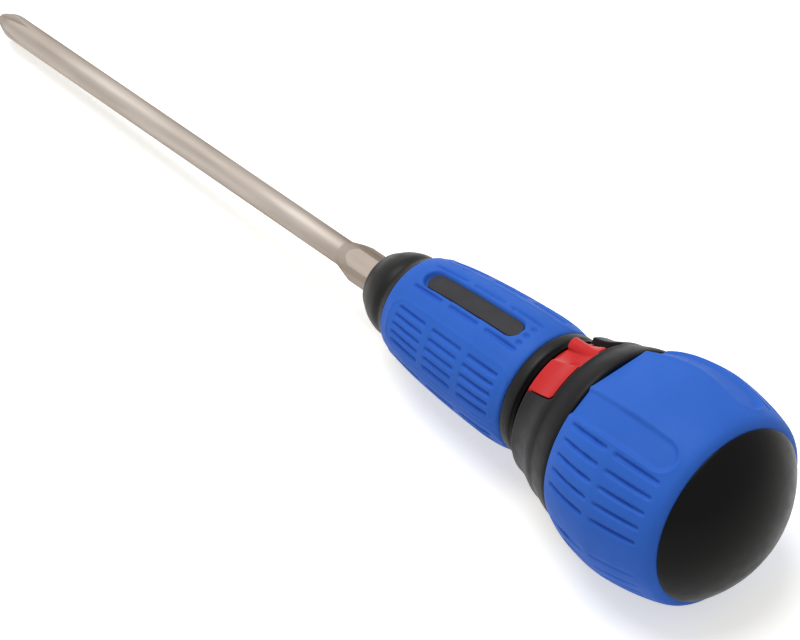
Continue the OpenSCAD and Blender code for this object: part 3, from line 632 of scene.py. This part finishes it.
# How far the collar and the lever stand over their CAD outline, by distance: a shallow valley
# in front of the window's rear edge, and one at the crease behind it
COLLAR_FORM = ((COLLAR_FRONT, 0), (49, -0.1), (50.5, -0.22), (52, -0.22), (53.3, -0.12),
               (54, -0.1), (54.6, -0.2), (55.2, -0.14), (56.3, 0), (57.8, 0.1), (59.2, 0.05),
               (59.8, 0))
# Degrees that the lever's ridge and the lower end of its window are turned up, by angle
LEAN_AT, LEAN = (-15, 5, 22, 44, 62), (0, 0, 4.2, 4.2, 0)


def outside_share(r):
    """0 for the inside of the collar and the lever, 1 for the outside."""
    return soft_step(r, 12.4, 13.2)


def collar_form(d, r):
    """How far the collar and the lever stand over their CAD outline, at the outside only."""
    at = np.linspace(47, 60, 131)
    reach, width = 12, 4
    k = bell(np.arange(-reach, reach + 1), width)
    line = np.convolve(np.pad(np.interp(at, *np.transpose(COLLAR_FORM)), reach, mode="edge"),
                       k / k.sum(), mode="valid")
    return np.interp(d, at, line) * outside_share(r)


def leaned(d, turn, r):
    """Angles of the outside after the lean, which grows towards the rear."""
    far = 0.25 + 0.75 * np.clip((d - COLLAR_FRONT) / 6, 0, 1)
    up = np.interp(np.degrees(turn), LEAN_AT, LEAN)
    return turn - np.radians(up) * far * outside_share(r)


def collar(mat):
    """The ratchet's cover, with a round lip at the rear."""
    places, radii = outline("ratchet_collar", low=IN_COLLAR)
    line = smooth_line(places, radii, blur=0.2)
    end, lip = places[-1], 0.7
    def shaped(d, turn, r):
        turn, r = leaned(d, turn, r), r + collar_form(d, r)
        top = line(d) - lip_drop(end - d, lip)
        return d, turn, np.where(d > end - lip, np.minimum(r, top), r)
    moulded("collar_shell", "ratchet_collar", "handle", mat,
            voxel=0.16, passes=4, shaped=shaped)


def lever(mat):
    """The selector ring and its lever. The ring's front edge, in the neck gap, is chamfered."""
    front = outline("ratchet_collar", low=IN_COLLAR)[0][0]
    ring_r, slope, chamfer_l, edge_r = 12.6, 0.35, 1.2, 11.5
    def shaped(d, turn, r):
        turn = leaned(d, turn, r)
        chamfered = np.minimum(r, edge_r + slope * np.maximum(d - front + chamfer_l, 0))
        r = np.where((d < front - 0.1) & (r < ring_r), chamfered, r + collar_form(d, r))
        return d, turn, r
    moulded("selector_lever", "selector_ring", "selector", mat,
            voxel=0.14, passes=5, shaped=shaped)


# The stage

# The camera, fitted to the photograph
CAMERA_AT = (-376.5, 294.1, 409.1)
CAMERA_RIGHT = (-0.66295, -0.745595, -0.067698)
CAMERA_UP = (0.459906, -0.476937, 0.749011)
SENSOR = 36.0
LENS = 157.5
# The nearest and farthest thing it sees, the half width of the floor, and the lamp, in metres
CLIP_START, CLIP_END = 0.01, 20
FLOOR_HALF = 2.5
LAMP_AT, LAMP_TARGET, LAMP_SIZE = (0.15, 0.05, 1.1), (-0.04, 0, 0), 0.8
LAMP_POWER = 9
WORLD_LEVEL = 0.40
WHITE = (1, 1, 1, 1)


def floor_place():
    """Tilt, normal and height of the floor, which the ball touches, and also the tip of the
    blade once it is drawn out, so that the floor hides nothing at any pose."""
    reach = next(j["range_m"][1] for j in frame["joints"] if j["name"] == "bit_slide") / MM
    ball, blade = vertices("ball_grip"), vertices("screwdriver_bit") + (reach, 0, 0)
    low, high, halvings = 0.0, math.radians(20), 40
    for _ in range(halvings):
        tilt = (low + high) / 2
        up = np.array((-math.sin(tilt), 0, math.cos(tilt)))
        if (blade @ up).min() > (ball @ up).min():
            low = tilt
        else:
            high = tilt
    return tilt, Vector(up), float((ball @ up).min())


def seen_share(tree):
    """1 for what the camera sees directly, in gloss or through glass, 0 for other light."""
    path = node(tree, "ShaderNodeLightPath")
    total = path.outputs["Is Camera Ray"]
    for kind in ("Is Glossy Ray", "Is Transmission Ray"):
        add = node(tree, "ShaderNodeMath", operation="MAXIMUM")
        tree.links.new(total, add.inputs[0])
        tree.links.new(path.outputs[kind], add.inputs[1])
        total = add.outputs[0]
    return total


def mixed(tree, share, first, second):
    """The output of a mix of two shaders."""
    mix = node(tree, "ShaderNodeMixShader")
    for i, socket in enumerate((share, first, second)):
        tree.links.new(socket, mix.inputs[i])
    return mix.outputs[0]


def floor_material():
    """Pale where the camera sees it, with the tool's shadow. The tool lies tilted on the
    floor, so it is clear from below, where a low view along the tool would start."""
    mat = material("floor_white", (0.88, 0.88, 0.88), 0.9, Specular_IOR_Level=0.1)
    tree = mat.node_tree
    plain = tree.nodes["Principled BSDF"].outputs[0]
    # A little warm, against the blue that the grips throw into the shadow
    glow = node(tree, "ShaderNodeEmission", Color=(1, 0.99, 0.94, 1), Strength=0.54)
    add = node(tree, "ShaderNodeAddShader")
    tree.links.new(plain, add.inputs[0])
    tree.links.new(glow.outputs[0], add.inputs[1])
    above = mixed(tree, seen_share(tree), plain, add.outputs[0])
    side = node(tree, "ShaderNodeNewGeometry")
    clear = node(tree, "ShaderNodeBsdfTransparent")
    tree.links.new(mixed(tree, side.outputs["Backfacing"], above, clear.outputs[0]),
                   tree.nodes["Material Output"].inputs["Surface"])
    return mat


def stage_floor():
    tilt, up, low = floor_place()
    half = FLOOR_HALF
    mesh = bpy.data.meshes.new("floor")
    mesh.from_pydata([(-half, -half, 0), (half, -half, 0), (half, half, 0), (-half, half, 0)],
                     [], [(0, 1, 2, 3)])
    mesh.materials.append(floor_material())
    floor = link_object("floor", mesh)
    floor.rotation_euler = (0, -tilt, 0)
    floor.location = up * low * MM


def stage_camera():
    right, up = Vector(CAMERA_RIGHT), Vector(CAMERA_UP)
    back = right.cross(up)
    cam = link_object("camera", bpy.data.cameras.new("camera"))
    cam.data.sensor_width = SENSOR
    cam.data.lens = LENS
    cam.data.clip_start, cam.data.clip_end = CLIP_START, CLIP_END
    turn = Matrix((right, up, back)).transposed().to_4x4()
    cam.matrix_world = Matrix.Translation(Vector(CAMERA_AT) * MM) @ turn
    bpy.context.scene.camera = cam


def stage_lights():
    """A plain soft world, white where it is seen, and one large lamp over the tool."""
    world = bpy.data.worlds.new("studio")
    bpy.context.scene.world = world
    world.use_nodes = True
    tree = world.node_tree
    light = tree.nodes["Background"]
    light.inputs["Color"].default_value = WHITE
    light.inputs["Strength"].default_value = WORLD_LEVEL
    shown = node(tree, "ShaderNodeBackground", Color=WHITE, Strength=1.0)
    tree.links.new(mixed(tree, seen_share(tree), light.outputs[0], shown.outputs[0]),
                   tree.nodes["World Output"].inputs["Surface"])
    lamp = bpy.data.lights.new("key", "AREA")
    lamp.shape = "DISK"
    lamp.size = LAMP_SIZE
    lamp.energy = LAMP_POWER
    key = link_object("key", lamp)
    key.location = LAMP_AT
    key.rotation_mode = "QUATERNION"
    way = Vector(LAMP_TARGET) - Vector(LAMP_AT)
    key.rotation_quaternion = way.to_track_quat("-Z", "Y")


# The making

mats = make_materials()
record_slots = {part["node"]: part["material_slot"] for part in frame["record"]["subparts"]}
for cad_name, cad_obj in frame["nodes"].items():
    for place in cad_obj.material_slots:
        place.material = mats[record_slots[cad_name]]

rubber_skin("front_grip_rubber", "front_grip", "spindle", mats["blue_rubber"],
            wall=2.0, columns=400, step=0.2, lip=0.5, relief_of=grip_relief)
rubber_skin("ball_rubber", "ball_grip", "handle", mats["blue_rubber"],
            wall=3.6, columns=720, step=0.2, lip=0.4, relief_of=ball_relief)
bit(mats["bit_steel"])
inlay(mats["inlay_black"])
nose(mats["black_plastic"])
neck(mats["black_plastic"])
end_cap(mats["cap_black"])
collar(mats["collar_black"])
lever(mats["red_plastic"])

stage_floor()
stage_camera()
stage_lights()
bpy.context.scene.view_settings.view_transform = "Standard"
